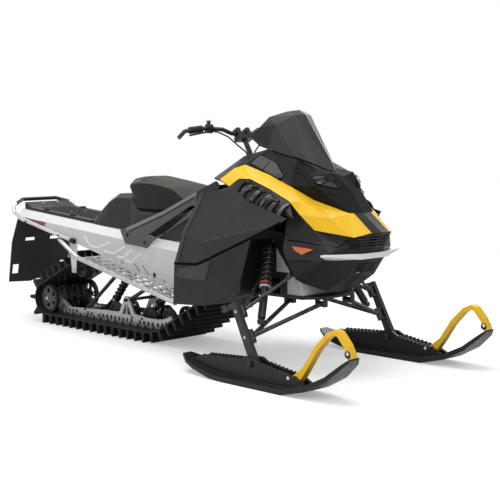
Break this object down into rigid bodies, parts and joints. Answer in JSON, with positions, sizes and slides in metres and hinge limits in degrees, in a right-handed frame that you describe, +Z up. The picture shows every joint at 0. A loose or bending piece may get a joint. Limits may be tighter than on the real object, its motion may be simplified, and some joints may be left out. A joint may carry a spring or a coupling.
{
  "type": "snowmobile",
  "caption": "Snowmobile with two steered skis on double arms, one lugged rubber track under a long tunnel, a seat, a handlebar and a faceted front body.",
  "frame": {"origin": "on the ground under the middle of the machine's bounding box", "axes": "+X forward, +Y to the rider's left, +Z up"},
  "size_m": [3.254, 1.188, 1.294],
  "materials": {
    "yellow_plastic": "glossy moulded panels",
    "charcoal_plastic": "grained moulded panels",
    "black_plastic": "matt moulded plastic",
    "track_rubber": "ribbed rubber",
    "wheel_rubber": "rubber over moulded hubs",
    "rail_aluminium": "satin extrusion",
    "tunnel_aluminium": "pale painted sheet",
    "cast_aluminium": "cast",
    "dark_steel": "satin black paint",
    "silver_steel": "bright satin tube",
    "engine_block": "cast block",
    "seat_cover": "grained seat cover",
    "flap_rubber": "ribbed moulded sheet",
    "grip_rubber": "soft grip",
    "lamp_lens": "clear lens",
    "red_lens": "red lens",
    "amber_lens": "amber lens",
    "screen": "opaque dark screen"
  },
  "bodies": {
    "root": {"track": "track_rubber", "rear_idlers": "wheel_rubber", "track_wheels": "wheel_rubber", "drive_axle": "black_plastic", "slide_rails": "rail_aluminium", "track_suspension": "dark_steel", "tunnel": "tunnel_aluminium", "running_boards": "rail_aluminium", "rear_grab_bar": "silver_steel", "snow_flap": "flap_rubber", "cargo_deck": "black_plastic", "tail_lamp": "red_lens", "seat_cushion": "seat_cover", "seat_base": "black_plastic", "steering_frame": "charcoal_plastic", "bulkhead": "cast_aluminium", "engine": "engine_block", "front_arms_right": "dark_steel", "front_arms_left": "dark_steel", "front_shocks": "dark_steel", "hood": "charcoal_plastic", "console": "black_plastic", "hood_stripes": "yellow_plastic", "side_panels": "charcoal_plastic", "foot_panels": "charcoal_plastic", "hood_vents": "black_plastic", "nose_cap": "black_plastic", "belly_pan": "black_plastic", "front_bumper": "silver_steel", "headlamps": "lamp_lens", "windshield": "screen", "side_markers": "amber_lens"},
    "steering": {"steering_post": "dark_steel", "handlebar": "dark_steel", "grips": "grip_rubber", "hand_controls": "black_plastic", "control_cables": "black_plastic"},
    "spindle_right": {"spindle_right": "dark_steel"},
    "spindle_left": {"spindle_left": "dark_steel"},
    "ski_right": {"ski_right": "black_plastic", "ski_loop_right": "yellow_plastic"},
    "ski_left": {"ski_left": "black_plastic", "ski_loop_left": "yellow_plastic"},
    "tie_rods": {"tie_rods": "dark_steel"}
  },
  "joints": [
    {"name": "steering_turn", "type": "hinge", "parent": "root", "child": "steering", "pos_m": [0.4, 0, 1.18], "axis": [-0.5, 0, 0.866], "range_deg": [-35, 35]},
    {"name": "spindle_right_turn", "type": "hinge", "parent": "root", "child": "spindle_right", "pos_m": [1.01, -0.47, 0.099], "axis": [-0.454, 0, 0.891], "range_deg": [-30.2, 30.2]},
    {"name": "ski_right_pitch", "type": "hinge", "parent": "spindle_right", "child": "ski_right", "pos_m": [1.01, -0.505, 0.099], "axis": [0, 1, 0], "range_deg": [-15, 15]},
    {"name": "spindle_left_turn", "type": "hinge", "parent": "root", "child": "spindle_left", "pos_m": [1.01, 0.47, 0.099], "axis": [-0.454, 0, 0.891], "range_deg": [-30.2, 30.2]},
    {"name": "ski_left_pitch", "type": "hinge", "parent": "spindle_left", "child": "ski_left", "pos_m": [1.01, 0.505, 0.099], "axis": [0, 1, 0], "range_deg": [-15, 15]},
    {"name": "tie_rod_slide", "type": "slide", "parent": "root", "child": "tie_rods", "axis": [0, 1, 0], "range_m": [-0.06, 0.06]}
  ],
  "couplings": [
    {"joint": "spindle_right_turn", "follows": "steering_turn", "ratio": 0.857},
    {"joint": "spindle_left_turn", "follows": "steering_turn", "ratio": 0.857},
    {"joint": "tie_rod_slide", "follows": "steering_turn", "m_per_rad": -0.0965}
  ]
}
